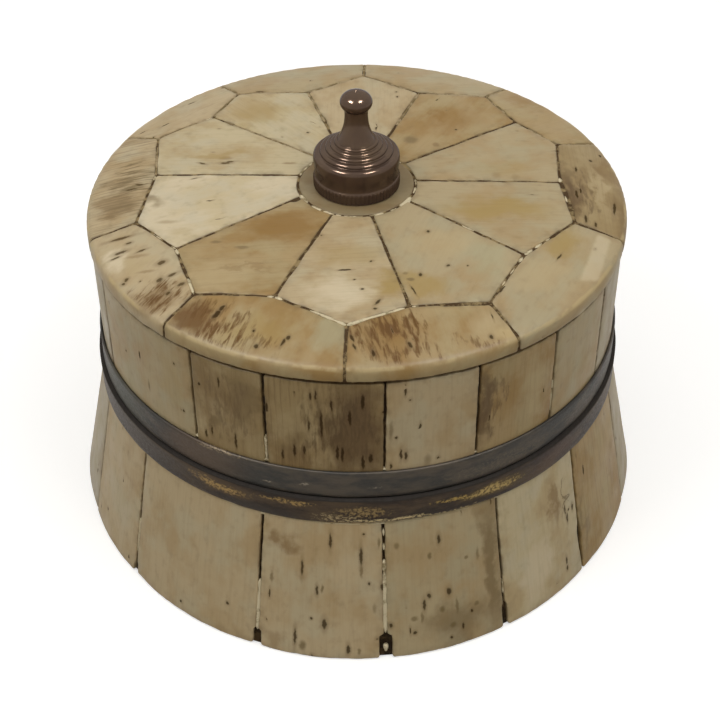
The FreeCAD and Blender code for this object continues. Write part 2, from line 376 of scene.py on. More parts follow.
def raggedOutline(corners, seed, jag=0.16, step=0.6, grow=-0.05, trims=()):
    # sawn and filed by hand; trims are x, y, reach and depth in mm of places where the edge was cut back
    points = []
    for a, b in zip(corners, corners[1:] + corners[:1]):
        count = max(1, round((b - a).length / step))
        points += [a.lerp(b, k / count) for k in range(count)]
    points = [(points[k - 1] + points[k] * 2 + points[(k + 1) % len(points)]) / 4 for k in range(len(points))]
    shifted = []
    for p, turn in zip(points, inward(points)):
        bite = wave(p.x, p.y, 4.0, seed) * jag + wave(p.x, p.y, 1.1, seed + 4) * jag * 0.55
        nick = max(0.0, wave(p.x, p.y, 2.6, seed + 9) - 0.55) * 2.2  # a small chip now and then
        cut = 0.0
        for x, y, reach, depth in trims:
            cut += depth * max(0.0, 1 - ((p - Vector((x, y))).length / reach) ** 4)
        shifted.append(p + turn * (bite + nick * jag * 3 + cut - grow))
    return shifted


# rings from the back over the arris: inset and drop in mm, and how near the edge the material takes it to be
arrisRings = ((None, 0, 1.0), (0.0, 0.45, 1.0), (0.03, 0.16, 1.0), (0.11, 0.05, 0.8), (0.32, 0.0, 0.35))


def boneSlice(name, outline, front, back, material, grid=1.3):
    # rounded arris round a softly uneven face; front(p, drop) and back(p) put a flat point on the piece
    count = len(outline)
    turns = inward(outline)
    flat = []
    points = []
    near = []
    faces = []
    for inset, drop, mark in arrisRings:
        for p, turn in zip(outline, turns):
            q = p + turn * (inset or 0.0)
            flat.append(Vector((q.x, q.y, 0)))
            points.append(back(q) if inset is None else front(q, drop))
            near.append(mark)
    for ring in range(4):
        for k in range(count):
            n = (k + 1) % count
            faces.append((ring * count + k, ring * count + n, (ring + 1) * count + n, (ring + 1) * count + k))
    faces.append(list(range(count))[::-1])
    rim = [Vector((p.x, p.y)) for p in flat[4 * count:]]
    core = [p + turn * 1.0 for p, turn in zip(outline, turns)]
    low = Vector((min(p.x for p in core), min(p.y for p in core)))
    high = Vector((max(p.x for p in core), max(p.y for p in core)))
    seeds = []
    rows = int((high.y - low.y) / (grid * 0.866)) + 1
    columns = int((high.x - low.x) / grid) + 1
    for row in range(rows):
        for column in range(columns):
            p = low + Vector(((column + 0.5 * (row % 2)) * grid, row * grid * 0.866))
            if inside(p, core):
                seeds.append(p)
    loop = [(k, (k + 1) % count) for k in range(count)]
    made, edges, triangles, source, *rest = delaunay_2d_cdt(rim + seeds, loop, [], 1, 1e-5)
    index = []
    for p, origin in zip(made, source):
        if origin and origin[0] < count:
            index.append(4 * count + origin[0])
        else:
            index.append(len(points))
            flat.append(Vector((p.x, p.y, 0)))
            points.append(front(p, 0.0))
            near.append(0.0)
    for a, b, c in triangles:
        if (made[b] - made[a]).cross(made[c] - made[a]) < 0:
            b, c = c, b
        faces.append((index[a], index[b], index[c]))
    return meshPiece(name, points, faces, material, placeMm=flat, edgeNear=near)


def latheRing(name, profile, material, segments=180, shape=None):
    # profile is a closed loop of (radius, height) in mm; shape moves a point by its angle
    points = []
    flat = []
    for k in range(segments):
        turn = 2 * math.pi * k / segments - math.pi  # the join is at the back
        for r, z in profile:
            if shape:
                r, z = shape(turn, r, z)
            points.append(Vector((r * math.sin(turn), -r * math.cos(turn), z)))
            flat.append(Vector((turn * max(r, 1.0), z, 0)))
    size = len(profile)
    faces = []
    for k in range(segments):
        n = (k + 1) % segments
        for j in range(size):
            m = (j + 1) % size
            faces.append((k * size + j, n * size + j, n * size + m, k * size + m))
    return meshPiece(name, points, faces, material, placeMm=flat)


def softened(points, rounds):
    # corner cutting, ends kept
    for _ in range(rounds):
        cut = [points[0]]
        for a, b in zip(points, points[1:]):
            cut += [a.lerp(b, 0.25), a.lerp(b, 0.75)]
        points = cut + [points[-1]]
    return points


# top of the lid: a low dome of tiles, whose outer ones slope down to a crisp arris
lidTop = {
    # radius, depth under the crown
    "dome": [(0, -0.45), (12.3, -0.4), (25, -0.2), (36, 0.0), (42, 0.2), (45.5, 0.4), (48.5, 0.95),
             (56.3, 3.0), (57.15, 3.45), (57.5, 4.1), (57.5, 6.6)],
    "arris": (57.2, 3.6), "bedDrop": 0.2,
    "lift": (0.4, 0.5), "liftStart": 43, "liftRun": 13, "liftEnd": 3,
}
domeRadius = lidTop["dome"][-1][0]
lidLine = softened([Vector((r * rimRadius / domeRadius, crown - d)) for r, d in lidTop["dome"]], 3)
lidRun = [0.0]
for a, b in zip(lidLine, lidLine[1:]):
    lidRun.append(lidRun[-1] + (b - a).length)
arrisSpot = Vector((lidTop["arris"][0], crown - lidTop["arris"][1]))
arrisReach = min(zip(lidRun, lidLine), key=lambda pair: (pair[1] - arrisSpot).length)[0]


def lidSurface(reach, drop):
    k = min(max(bisect(lidRun, reach), 1), len(lidRun) - 1)
    a, b = lidLine[k - 1], lidLine[k]
    run = (b - a).normalized()
    return a + run * (reach - lidRun[k - 1]) - Vector((-run.y, run.x)) * drop


def rimLift(x, y, reach):
    # the ring of outer tiles is worn lower in front than behind
    middle, tilt = lidTop["lift"]
    rise = min(max((reach - lidTop["liftStart"]) / lidTop["liftRun"], 0.0), 1.0)
    fall = min(max((lidRun[-1] - reach) / lidTop["liftEnd"], 0.0), 1.0)
    return (middle + tilt * y / math.hypot(x, y)) * rise * fall


def onLid(p, drop, seed=0):
    reach = max(p.length, 1e-6)
    sink = drop + 0.07 * (wave(p.x, p.y, 9.0, seed) + 0.5) if reach < 50 else drop + 0.035
    q = lidSurface(reach, sink)
    lift = rimLift(p.x, p.y, reach) if reach > 40 else 0.0
    return Vector((p.x / reach * q.x, p.y / reach * q.x, q.y + lift))


def underLid(p):
    reach = max(p.length, 1e-6)
    r = min(lidSurface(reach, 0).x, rimRadius - 1.2)
    return Vector((p.x / reach * r, p.y / reach * r, tileBed))


def tileCorners(node):
    # the tile's corners on its bed, anticlockwise seen from above
    found = {(round(p.x, 2), round(p.y, 2)) for p in nodePoints(node) if p.z < tileBed + 0.01}
    middle = sum((Vector(p) for p in found), Vector((0, 0))) / len(found)
    corners = sorted((Vector(p) for p in found), key=lambda p: math.atan2(p.y - middle.y, p.x - middle.x))
    reach = lidRun[-1]
    return [p * (reach / p.length) if p.length > rimRadius - 0.05 else p for p in corners]


# marks start with their place in mm, listed one by one: pits, stains, streaks, and trims chipped off the
# outline
tileLooks = {
    "inner_tile_01": {"kind": "fawn", "grain": 3, "fibre": 0.14, "trims": [(-13.3, -5.3, 1.6, 0.8)],
        "stains": [(-14, -16, 10, 7, "amber", 0.85), (-28, -32, 8, 6, "straw", 0.6),
            (-28.5, -21, 1.4, 0.6, "smoke", 0.7), (-23, -23, 1.8, 0.7, "smoke", 0.7),
            (-22, -30, 7, 0.7, "hazel", 0.4)]},
    "inner_tile_02": {"kind": "buff", "grain": 5, "fibre": 0.14,
        "pits": [(4, -41, 1.1, 0.35, 58), (1, -37, 0.35, 0.3), (3.5, -43, 0.45, 0.3),
            (-0.5, -34, 0.3, 0.2)],
        "stains": [(7.5, -36, 5, 6, "honey", 0.85), (-3, -38, 8, 6, "chalk", 0.8),
            (-1, -26, 8, 4, "honey", 0.4)]},
    "inner_tile_03": {"kind": "bone", "grain": 70, "fibre": 0.05, "pores": 0.0, "specks": 0.004,
        "pits": [(14.5, -18, 0.5, 0.4), (18, -29.5, 0.5, 0.4), (12.5, -32.5, 0.55, 0.4),
            (22, -29.5, 0.3, 0.25), (11, -37.5, 1.5, 0.2, 112)],
        "stains": [(17, -22, 9, 6, "straw", 0.6), (12, -35, 7, 4, "honey", 0.7),
            (10.5, -34, 1, 0.7, "smoke", 0.8), (9.5, -32, 0.7, 0.6, "smoke", 0.6),
            (26, -27, 5, 8, "sage", 0.6)]},
    "inner_tile_04": {"kind": "bone", "grain": 0, "fibre": 0.12,
        "stains": [(29, -9.5, 13, 4.5, "honey", 0.8)]},
    "inner_tile_05": {"kind": "bone", "grain": 10, "fibre": 0.08,
        "stains": [(31, 6, 8, 4, "honey", 0.3), (30, 3, 1.2, 1.6, "hazel", 0.4),
            (34, 2.5, 1, 1.5, "hazel", 0.3)]},
    "inner_tile_06": {"kind": "fawn", "grain": 60,
        "stains": [(22, 27, 9, 7, "amber", 0.35), (19, 28.5, 2.2, 3, "amber", 0.7),
            (12, 17.5, 2, 2, "smoke", 0.8), (17.5, 15.5, 0.9, 1.2, "hazel", 0.7)]},
    "inner_tile_07": {"kind": "buff", "grain": 90, "pores": 0.03},
    "inner_tile_08": {"kind": "cream", "grain": 130,
        "stains": [(-21.5, 31, 7, 6, "honey", 0.5), (-27, 22, 6, 3, "honey", 0.4)]},
    "inner_tile_09": {"kind": "cream", "grain": 176, "fibre": 0.1, "pores": 0.005, "pitTint": "softPit",
        "pits": [(-28.5, 8.5, 1.2, 0.45, 0), (-33.5, 8.5, 0.9, 0.3, -22), (-27.5, 9, 1, 0.3, 8)],
        "stains": [(-28.5, 10.5, 1.8, 0.8, "hazel", 0.6), (-14.5, 8, 2, 0.5, "hazel", 0.6),
            (-30, 12, 10, 1.6, "honey", 0.5)]},
    "inner_tile_10": {"kind": "ivory", "grain": 20, "fibre": 0.03, "specks": 0.01,
        "stains": [(-42.5, -5.5, 3.4, 2.2, "smoke", 0.55), (-39, -13.5, 2.8, 0.8, "hazel", 0.4),
            (-36, -17, 3, 1.5, "straw", 0.5)]},
    "rim_tile_01": {"kind": "fawn", "grain": 66, "fibre": 0.05,
        "pits": [(-26, -41.5, 0.9, 0.5, 55), (-27, -43, 1.3, 0.6, 55), (-19, -51.5, 0.55, 0.5),
            (-13, -50, 0.6, 0.4), (-14, -51, 1.1, 0.3, 58)],
        "stains": [(-32, -43, 5, 4.5, "rust", 0.85), (-19, -48, 9, 5, "honey", 0.5),
            (-4.5, -48.5, 5, 6, "sage", 0.65)],
        "streaks": [(-27, -46.5, 7, 7, "rust", 0.95), (-15.5, -52, 3, 3, "rust", 0.7),
            (-21, -51, 5, 3, "rust", 0.6), (-30, -41, 3, 3, "rust", 0.7)]},
    "rim_tile_02": {"kind": "fawn", "grain": 104, "fibre": 0.05, "trims": [(21, -41, 5.5, 0.5)],
        "pits": [(-1, -50.5, 1, 0.35, 118), (-0.5, -52.5, 0.9, 0.25, 110), (3, -54, 0.9, 0.35, 95),
            (10, -52, 0.9, 0.4, 116), (25.5, -49, 0.55, 0.4)],
        "stains": [(5, -50, 9, 6, "amber", 0.7), (27.5, -45.5, 5, 4, "straw", 0.6),
            (29, -48, 3, 2, "rubbed", 0.6)],
        "streaks": [(4.5, -49, 9, 6, "rust", 0.95), (9, -47.5, 4, 4, "rust", 0.85),
            (9, -53.5, 9, 2.2, "rust", 0.85), (23.5, -50.5, 5, 2, "rust", 0.7)]},
    "rim_tile_03": {"kind": "bone", "grain": 60, "fibre": 0.05,
        "ground": [(49.5, -16.5), (44, -32), (48.5, -31), (52.5, -17.5)],
        "stains": [(41.5, -20.5, 6, 6, "honey", 0.75), (36, -31, 7, 5, "straw", 0.5)]},
    "rim_tile_04": {"kind": "tan", "grain": 88, "fibre": 0.25, "trims": [(44.5, -6, 9, 0.5)],
        "pits": [(46.5, -3.5, 1.7, 0.35), (47.5, -2, 1.2, 0.25), (47.5, 6.5, 1.2, 0.3),
            (47.5, -12, 1.5, 0.4), (49.5, -13.5, 0.9, 0.35), (51.5, 11.5, 0.5, 0.4),
            (54.5, -6.5, 2.6, 0.4, 82)],
        "stains": [(45, -3, 2.2, 11, "umber", 0.85), (52, 0, 1.5, 9, "straw", 0.6),
            (55.5, 9, 2.5, 8, "hazel", 0.6)],
        "streaks": [(48.5, -3, 3, 11, "umber", 0.7)]},
    "rim_tile_05": {"kind": "fawn", "grain": 40},
    "rim_tile_06": {"kind": "bone", "grain": 10},
    "rim_tile_07": {"kind": "bone", "grain": 5, "pores": 0.04},
    "rim_tile_08": {"kind": "buff", "grain": 40, "pores": 0.04},
    "rim_tile_09": {"kind": "buff", "grain": 4, "fibre": 0.5, "fibreTint": "faint", "pitTint": "softPit",
        "strokeCell": (6, 0.9),
        "pits": [(-46.5, 1, 1, 0.35, -12), (-48, -0.5, 1.4, 0.3, 0)],
        "stains": [(-51, -5, 6, 5, "hazel", 0.7), (-50, 3, 5, 2, "hazel", 0.4)],
        "streaks": [(-48.5, 4, 6, 7, "faint", 0.8), (-50, -6, 6, 5, "smoke", 0.6)]},
    "rim_tile_10": {"kind": "buff", "grain": 50, "fibre": 0.04, "pitTint": "softPit",
        "pits": [(-48.5, -17.5, 2.6, 0.4, 8), (-48, -22, 1.5, 0.5, 14), (-46.5, -19.5, 0.7, 0.4, 10),
            (-49, -23.5, 1.2, 0.3, 20), (-39, -27, 1, 0.6, 22), (-36.5, -31, 1.1, 0.4, 25),
            (-39, -32, 0.8, 0.55, 40), (-34.5, -34, 0.9, 0.5, 25), (-37, -36, 0.6, 0.4, 40),
            (-46, -30.5, 0.6, 0.45), (-46.5, -31.5, 0.45, 0.45), (-43.5, -22.5, 1.2, 0.3, 20)],
        "stains": [(-49.5, -25, 3, 4, "chalk", 0.8), (-43.5, -26, 5, 3, "straw", 0.6),
            (-39, -37, 7, 4.5, "hazel", 0.7), (-44.5, -24, 3, 0.6, "hazel", 0.5),
            (-42, -29, 2.4, 0.5, "hazel", 0.5)],
        "streaks": [(-39, -37, 7.5, 5.5, "rust", 0.95)]},
    "centre_disc": {"kind": "drab", "grain": 0, "fibre": 0.06, "pores": 0.0, "specks": 0.0, "edge": 0.3},
}
for seed, (node, look) in enumerate(tileLooks.items()):
    bone = polishedBone("bone_waxed_" + node, look, arrisReach if node.startswith("rim") else None)
    if node == "centre_disc":
        disc = reachOf(node)
        turns = [k * math.pi / 48 for k in range(96)]
        corners = [Vector((disc * math.cos(t), disc * math.sin(t))) for t in turns]
        outline = raggedOutline(corners, seed, 0.08)
    else:
        outline = raggedOutline(tileCorners(node), seed, trims=look.get("trims", ()))
    piece = boneSlice(node + "_slice", outline, partial(onLid, seed=seed), underLid, bone)
    settle(piece, "lid", "polished_bone", node)
print("mosaic laid:", len(tileLooks), "slices")

bedLine = [lidSurface(s, lidTop["bedDrop"]) for s in [0.02 * k * lidRun[-1] for k in range(51)]]
bedLoop = [(max(p.x, 0.01), max(p.y, tileBed + 0.05)) for p in bedLine]
bedLoop += [(rimRadius - 1.5, tileBed + 0.02), (0.01, tileBed + 0.02)]


def underRim(turn, r, z):
    if r > 40 and z > tileBed + 0.1:
        z = max(z + rimLift(r * math.sin(turn), -r * math.cos(turn), r), tileBed + 0.05)
    return r, z


settle(latheRing("lid_top_pitch", bedLoop, pitchBed, shape=underRim), "lid", "polished_bone")


def fillerStrip(name, path, front, width, seed, material=creamFiller):
    # a low bead along a flat path, swelling and thinning as it was pressed in
    points = []
    faces = []
    runs = []
    for a, b in zip(path, path[1:]):
        count = max(1, round((b - a).length / 0.4))
        runs += [a.lerp(b, k / count) for k in range(count)]
    runs.append(path[-1])
    for k, p in enumerate(runs):
        run = (runs[min(k + 1, len(runs) - 1)] - runs[max(k - 1, 0)]).normalized()
        side = Vector((-run.y, run.x))
        ends = min(1.0, 0.3 + 0.45 * min(k, len(runs) - 1 - k))
        swell = 1 + 0.7 * wave(p.x, p.y, 2.4, seed) + 0.5 * wave(p.x, p.y, 0.9, seed + 3)
        half = width * 0.5 * ends * max(0.2, swell)
        for shift, drop in ((half, 0.7), (half, 0.16), (0.0, 0.03), (-half, 0.16), (-half, 0.7)):
            points.append(front(p + side * shift, drop))
    for k in range(len(runs) - 1):
        for j in range(5):
            m = (j + 1) % 5
            faces.append((k * 5 + j, k * 5 + m, k * 5 + 5 + m, k * 5 + 5 + j))
    faces.append((4, 3, 2, 1, 0))
    last = (len(runs) - 1) * 5
    faces.append(tuple(last + j for j in range(5)))
    return meshPiece(name, points, faces, material)


def wedgeCorners(node):
    # inner, outer, point, outer, inner corners of a wedge tile, in order of rising angle
    corners = sorted(tileCorners(node), key=lambda p: p.length)
    point = corners[-1]
    turn = lambda p: math.atan2(point.x * p.y - point.y * p.x, point.dot(p))
    outers = sorted(corners[-3:-1], key=turn)
    inners = sorted(corners[:-3], key=turn)
    return [inners[0], outers[0], point, outers[1], inners[-1]]


fillers = {
    # number of a wedge tile, from corner, to corner, start and end share of that edge, width in mm
    "seams": [(1, 1, 2, 0.0, 0.12, 0.8), (1, 1, 2, 0.68, 1.0, 0.6), (10, 3, 2, 0.0, 0.1, 0.6),
              (10, 3, 2, 0.35, 0.55, 0.35), (1, 3, 2, 0.0, 0.08, 0.9), (2, 1, 2, 0.0, 0.1, 1.1),
              (2, 1, 2, 0.5, 1.0, 0.55), (2, 2, 3, 0.0, 0.93, 0.7), (3, 1, 2, 0.02, 0.1, 0.5),
              (3, 3, 4, 0.42, 0.52, 0.5), (3, 3, 2, 0.05, 0.16, 0.6), (3, 3, 2, 0.3, 0.42, 0.45),
              (3, 3, 2, 0.58, 0.66, 0.45), (4, 1, 2, 0.0, 0.14, 0.9), (4, 1, 2, 0.2, 0.33, 0.7),
              (4, 1, 2, 0.42, 0.5, 0.5), (5, 1, 2, 0.0, 0.1, 1.0), (4, 3, 2, 0.35, 0.5, 0.5),
              (9, 1, 2, 0.0, 0.2, 0.4), (10, 1, 2, 0.0, 0.1, 0.6)],
    # grimed ones at the back, whose seams hardly show
    "grimed": [(6, 1, 2, 0.35, 1.0, 0.5), (6, 2, 3, 0.0, 0.9, 0.55), (7, 1, 2, 0.1, 0.95, 0.6),
               (7, 2, 3, 0.0, 1.0, 0.6), (7, 0, 1, 0.45, 1.0, 0.5), (7, 3, 4, 0.0, 0.5, 0.5),
               (8, 1, 2, 0.05, 0.9, 0.6), (8, 2, 3, 0.1, 1.0, 0.6), (8, 3, 4, 0.1, 0.9, 0.55),
               (9, 1, 2, 0.1, 1.0, 0.6), (9, 2, 3, 0.25, 1.0, 0.55), (5, 2, 3, 0.0, 0.7, 0.5)],
    # from and to angle, width in mm
    "disc": [(-70, -55, 1.0), (-33, -22, 0.6), (-20, -15, 0.5), (12, 26, 0.8), (34, 41, 0.5), (46, 64, 1.1),
             (72, 82, 0.5), (86, 96, 0.7), (130, 170, 0.5), (-130, -105, 0.5), (-48, -36, 0.9),
             (-12, 6, 0.5)],
    "ring": [4, 5, 6, 7, 8],  # numbers of the rim tiles that have it along their right edge
    "seamMiddle": 0.2, "discMiddle": 0.25, "ringStart": 48.5, "ringStop": 1.5, "ringWidth": 0.6,
}
for k, (tile, first, second, start, end, width) in enumerate(fillers["seams"] + fillers["grimed"]):
    corners = wedgeCorners("inner_tile_%02d" % tile)
    middle = sum(corners, Vector((0, 0))) / 5
    a, b = corners[first], corners[second]
    out = Vector((-(b - a).y, (b - a).x)).normalized() * fillers["seamMiddle"]
    if out.dot((a + b) / 2 - middle) < 0:
        out = -out
    path = [a.lerp(b, start) + out, a.lerp(b, end) + out]
    lime = creamFiller if k < len(fillers["seams"]) else tanFiller
    settle(fillerStrip("filler_seam_%02d" % (k + 1), path, onLid, width, k, lime), "lid", "polished_bone")
for k, (start, end, width) in enumerate(fillers["disc"]):
    turns = [math.radians(start + (end - start) * j / 12) for j in range(13)]
    path = [Vector((math.sin(t), -math.cos(t))) * (disc + fillers["discMiddle"]) for t in turns]
    settle(fillerStrip("filler_disc_%02d" % (k + 1), path, onLid, width, k + 40), "lid", "polished_bone")
for k, tile in enumerate(fillers["ring"]):
    turn = math.radians(spanOf("rim_tile_%02d" % tile)[1]) + 0.003
    ends = (fillers["ringStart"], lidRun[-1] - fillers["ringStop"])
    path = [Vector((math.sin(turn), -math.cos(turn))) * reach for reach in ends]
    bead = fillerStrip("filler_ring_%d" % (k + 1), path, onLid, fillers["ringWidth"], k + 60, tanFiller)
    settle(bead, "lid", "polished_bone")
print("filler pressed in:", sum(len(fillers[kind]) for kind in ("seams", "grimed", "disc", "ring")), "beads")


# staves: the lid's stand straight, the base's flare out to the foot
def baseLine(z):
    if z > flareHead:
        return seatRadius
    return footRadius + (baseRadius - footRadius) * z / flareHead


def footWander(turn, z):
    # the foot is not quite round in front
    return 0.75 * math.cos(3 * turn) * max(0.0, 1 - z / flareHead) if math.cos(turn) > 0 else 0.0


def onStave(middle, flared, seed, p, drop):
    turn = p.x / lidRadius
    r = lidRadius
    if flared:
        lean = baseLine(p.y) - baseRadius
        r = lean * math.cos(turn) + math.sqrt(baseRadius ** 2 - (lean * math.sin(turn)) ** 2)
        r += footWander(middle + turn, p.y)
    r -= drop + 0.05 * (wave(p.x, p.y, 8.0, seed) + 0.6)
    return Vector((r * math.sin(middle + turn), -r * math.cos(middle + turn), p.y))


def behindStave(middle, flared, p):
    turn = p.x / lidRadius
    r = ((baseLine(p.y) if flared else lidRadius) - staveThickness) / math.cos(turn)
    return Vector((r * math.sin(middle + turn), -r * math.cos(middle + turn), p.y))


# marks on a stave start with an angle from the front and a height; sides are width cut off left and right,
# notches are width and height broken from the foot of its left and right edge
staveLooks = {
    "lid_stave_01": {"kind": "bone",
        "stains": [(-48, 52.5, 0.4, 1.8, "faint", 0.7), (-40, 58, 4, 10, "honey", 0.3)]},
    "lid_stave_02": {"kind": "tan", "fibre": 0.3, "sides": (0.0, 0.06),
        "pits": [(-32, 48.5, 1.2, 0.3), (-30.5, 50, 1.4, 0.25), (-25, 49.5, 2.5, 0.3),
            (-28, 63.5, 1.6, 0.3)],
        "stains": [(-30, 55, 1.2, 4, "smoke", 0.7), (-24, 56, 1.2, 3, "smoke", 0.6),
            (-22.5, 61, 4, 6, "smoke", 0.7), (-33, 50, 2.5, 4, "straw", 0.7)],
        "streaks": [(-27, 58, 7, 9, "umber", 0.5)]},
    "lid_stave_03": {"kind": "tan", "fibre": 0.35, "fibreTint": "umber", "sides": (0.06, 0.0),
        "pits": [(-9, 65, 1.2, 0.3), (-8, 65.5, 1.4, 0.25), (-5, 63, 1.6, 0.25), (-1.5, 60, 2.2, 0.4),
            (1, 64, 2.2, 0.45), (-7, 58, 4, 0.35), (-12.5, 50.5, 1.9, 0.3),
            (-10.5, 51, 1.3, 0.3), (-4, 51, 2.2, 0.35), (-3, 50.5, 2.2, 0.35),
            (1, 48.5, 2.2, 0.35), (2.5, 49.5, 1.3, 0.5), (-15, 49, 1.6, 0.25),
            (-9.5, 57.5, 1.6, 0.25)],
        "stains": [(-0.5, 57, 7, 15, "umber", 0.9), (-13, 53, 2.5, 5, "smoke", 0.5)],
        "streaks": [(-3, 57, 9, 11, "softPit", 0.6), (-10, 51, 4, 4, "umber", 0.6)]},
    "lid_stave_04": {"kind": "buff",
        "pits": [(8.5, 50, 1.5, 0.3), (9.5, 49.5, 1.1, 0.35), (6.5, 47, 0.8, 0.25),
            (7.5, 54.5, 0.35, 0.3)],
        "stains": [(6.5, 56.5, 0.5, 3, "faint", 0.6), (14, 47.5, 0.8, 1.8, "faint", 0.5)]},
    "lid_stave_05": {"kind": "fawn", "fibre": 0.2,
        "stains": [(26, 58, 2.2, 11, "umber", 0.85), (38, 57, 3, 11, "straw", 0.5)],
        "streaks": [(27.5, 57, 4, 9, "umber", 0.6)]},
    "lid_stave_06": {"kind": "bone"},
    "lid_stave_07": {"kind": "grey"},
    "lid_stave_08": {"kind": "fawn", "pores": 0.05},
    "lid_stave_09": {"kind": "tan", "pores": 0.12, "fibre": 0.35},
    "lid_stave_10": {"kind": "bone"},
    "lid_stave_11": {"kind": "fawn", "pores": 0.08},
    "lid_stave_12": {"kind": "bone"},
    "lid_stave_13": {"kind": "tan", "pores": 0.12, "fibre": 0.35},
    "lid_stave_14": {"kind": "bone", "pores": 0.04},
    "lid_stave_15": {"kind": "fawn", "pores": 0.06},
    "lid_stave_16": {"kind": "grey"},
    "base_stave_01": {"kind": "buff", "notches": ((0, 0), (0.3, 3.0))},
    "base_stave_02": {"kind": "buff", "fibre": 0.1, "notches": ((0.3, 3.0), (0.5, 4.2)), "sides": (0.0, 0.06),
        "pits": [(-26, 8, 0.4, 0.35)]},
    "base_stave_03": {"kind": "buff", "notches": ((0.5, 4.2), (0.9, 6.0)), "sides": (0.06, 0.06),
        "pits": [(-5.5, 28.5, 2, 0.3), (-11, 21.5, 2.1, 0.3), (0.5, 25, 2.3, 0.35),
            (-8, 16.5, 1.2, 0.3), (4.5, 17.5, 1, 0.4), (2, 18.5, 0.4, 0.3),
            (-6.5, 8.5, 1.4, 0.5), (-9, 9.5, 0.35, 0.3), (-12, 4.5, 2.2, 0.3),
            (-2, 2.5, 1.2, 0.35)],
        "stains": [(-7, 17, 0.35, 1.2, "faint", 0.8), (4, 28, 0.35, 1.4, "faint", 0.7),
            (0.5, 21.5, 0.35, 1.8, "faint", 0.7), (0, 2, 0.4, 1, "faint", 0.7),
            (-10.5, 2.5, 0.8, 1.5, "faint", 0.8), (-17, 18, 0.45, 1.5, "faint", 0.7),
            (3, 12.5, 0.5, 1.4, "faint", 0.5), (-15, 27, 2.6, 3.2, "hazel", 0.8),
            (-16, 3, 3.2, 3, "hazel", 0.5)]},
    "base_stave_04": {"kind": "bone", "notches": ((0.9, 6.0), (0.35, 6.0)), "sides": (0.06, 0.0),
        "pits": [(16, 27, 1.2, 0.4), (17.5, 14, 1, 0.5), (13.5, 14, 0.7, 0.4), (12.5, 12, 1.5, 0.35),
            (22, 7.5, 0.5, 0.3), (20, 4.5, 0.9, 0.3), (17.5, 2.5, 0.4, 0.3), (6, 8, 0.6, 0.4),
            (10.5, 5.5, 0.5, 0.4)],
        "stains": [(27, 17, 3, 20, "smoke", 0.8), (19, 6, 8, 6, "smoke", 0.7),
            (14, 23.5, 0.5, 1, "faint", 0.8), (19, 10, 0.35, 2.4, "faint", 0.7),
            (16, 10, 0.7, 0.9, "faint", 0.8), (18, 5.5, 0.8, 0.8, "faint", 0.8),
            (10.5, 9, 0.8, 0.8, "faint", 0.7), (24, 21, 0.4, 1.8, "faint", 0.6),
            (21.5, 21, 0.5, 0.6, "faint", 0.7), (23, 9, 0.7, 0.7, "faint", 0.7),
            (12, 9, 0.4, 1.6, "faint", 0.7), (7.5, 27, 0.7, 0.9, "faint", 0.6)]},
    "base_stave_05": {"kind": "cream", "notches": ((0.35, 6.0), (0, 0)), "trims": [(51.1, 9, 3.8, 0.35)],
        "pits": [(47, 19.5, 1.6, 0.2), (47.5, 17, 1.3, 0.3), (49.5, 18.5, 0.9, 0.3),
            (46, 6.5, 1.1, 0.3), (46, 4.5, 0.7, 0.3)],
        "stains": [(44, 23.5, 1.5, 7, "hazel", 0.75), (38, 9.5, 5, 9, "chalk", 0.6),
            (47, 23, 0.35, 5, "faint", 0.7)]},
    "base_stave_06": {"kind": "fawn", "fibre": 0.3, "trims": [(51.1, 9, 3.8, 0.35)],
        "stains": [(53, 12, 1.5, 12, "smoke", 0.5)]},
    "base_stave_07": {"kind": "grey"},
    "base_stave_08": {"kind": "fawn", "pores": 0.05},
    "base_stave_09": {"kind": "tan", "pores": 0.12, "fibre": 0.3},
    "base_stave_10": {"kind": "bone", "pores": 0.03},
    "base_stave_11": {"kind": "fawn", "pores": 0.1},
    "base_stave_12": {"kind": "bone"},
    "base_stave_13": {"kind": "grey"},
}
seamsOf = {}
for seed, (node, look) in enumerate(staveLooks.items()):
    flared = node.startswith("base")
    start, end = spanOf(node)
    middle = (start + end) / 2
    half = math.radians((end - start) / 2) * lidRadius
    low, high = (baseFoot, baseHead) if flared else (lidFoot, lidHead)
    local = {}
    for kind in ("pits", "stains", "streaks", "trims"):
        marks = look.get(kind, ())
        local[kind] = [(math.radians(angle - middle) * lidRadius, *rest) for angle, *rest in marks]
    cutLeft, cutRight = look.get("sides", (0, 0))
    left, right = cutLeft - half, half - cutRight
    corners = [Vector(p) for p in ((left, low), (right, low), (right, high), (left, high))]
    outline = raggedOutline(corners, seed + 50, trims=local["trims"])
    notches = look.get("notches", ((0, 0), (0, 0)))
    for p in outline:
        width, height = notches[1 if p.x > 0 else 0]
        if p.y < height and abs(p.x) > half - 0.8:
            p.x -= math.copysign(width * min(1.0, (height - p.y) * 2), p.x)
        p.y = max(p.y, low)
    bone = polishedBone("bone_scraped_" + node, {**look, **local})
    front = partial(onStave, math.radians(middle), flared, seed)
    back = partial(behindStave, math.radians(middle), flared)
    piece = boneSlice(node + "_slice", outline, front, back, bone)
    settle(piece, "base" if flared else "lid", "polished_bone", node)
    seamsOf[node] = (front, half)
print("staves set:", len(staveLooks))

lidWallBed = [(lidRadius - 0.7, lidFoot + 0.15), (lidRadius - 0.7, lidHead),
              (lidRadius - 3.0, lidHead), (lidRadius - 3.0, lidFoot + 0.15)]
settle(latheRing("lid_side_pitch", lidWallBed, pitchDark), "lid", "polished_bone")
baseWallBed = [(footRadius - 0.95, baseFoot + 0.1), (baseRadius - 0.85, flareHead),
               (seatRadius - 0.8, baseHead - 0.2), (seatRadius - 3.0, baseHead - 0.2),
               (footRadius - 3.2, baseFoot + 0.1)]


def underFoot(turn, r, z):
    return r + footWander(turn, z), z


settle(latheRing("base_side_pitch", baseWallBed, pitchDark, shape=underFoot), "base", "polished_bone")

